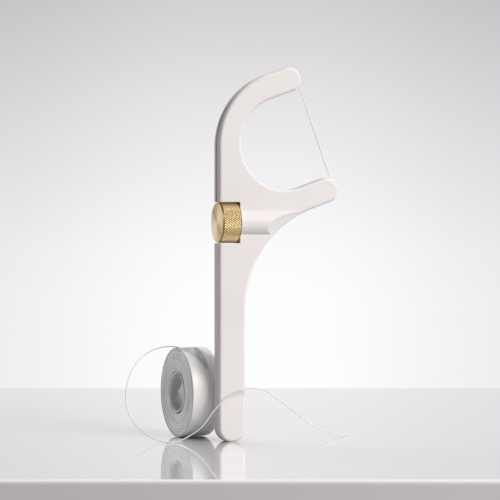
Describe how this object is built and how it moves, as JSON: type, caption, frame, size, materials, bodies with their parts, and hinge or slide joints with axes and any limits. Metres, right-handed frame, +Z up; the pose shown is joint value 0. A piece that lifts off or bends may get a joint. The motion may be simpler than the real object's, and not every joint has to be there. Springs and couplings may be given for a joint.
{
  "type": "refillable floss holder",
  "caption": "Bow-shaped plastic floss holder with a knurled brass clamp knob, a taut strand of floss across its arms and a loose wound refill coil beside its foot.",
  "frame": {"origin": "middle of the handle's foot, on the table", "axes": "+X to the right across the flat handle, towards its arms; +Y away from the handle's front face; +Z up along the grip"},
  "size_m": [0.0759, 0.0393, 0.1205],
  "materials": {
    "handle": "satin moulded, warm white",
    "knob": "turned and knurled, bare",
    "insert": "turned, bare",
    "steel": "turned",
    "floss": "waxed multifilament",
    "winding": "waxed floss, silky",
    "liner": "thin milky film"
  },
  "bodies": {
    "handle": {"handle_frame": "handle", "threaded_insert": "insert", "loaded_floss": "floss"},
    "clamp": {"clamp_washer": "steel"},
    "knob": {"tension_knob": "knob", "clamp_stud": "steel", "retaining_ring": "steel"},
    "coil": {"refill_core": "winding", "refill_winding": "winding", "coil_liner": "liner", "floss_tail": "floss"}
  },
  "joints": [
    {"name": "clamp_slide", "type": "slide", "parent": "handle", "child": "clamp", "axis": [1, 0, 0], "range_m": [-0.0015, 0]},
    {"name": "knob_turn", "type": "hinge", "parent": "clamp", "child": "knob", "pos_m": [0, 0, 0.0701], "axis": [1, 0, 0], "range_deg": [-1080, 0]},
    {"name": "coil_lift", "type": "slide", "parent": "handle", "child": "coil", "axis": [0, 0, 1], "range_m": [0, 0.03]}
  ],
  "couplings": [
    {"joint": "clamp_slide", "follows": "knob_turn", "m_per_rad": 0.00007957}
  ]
}
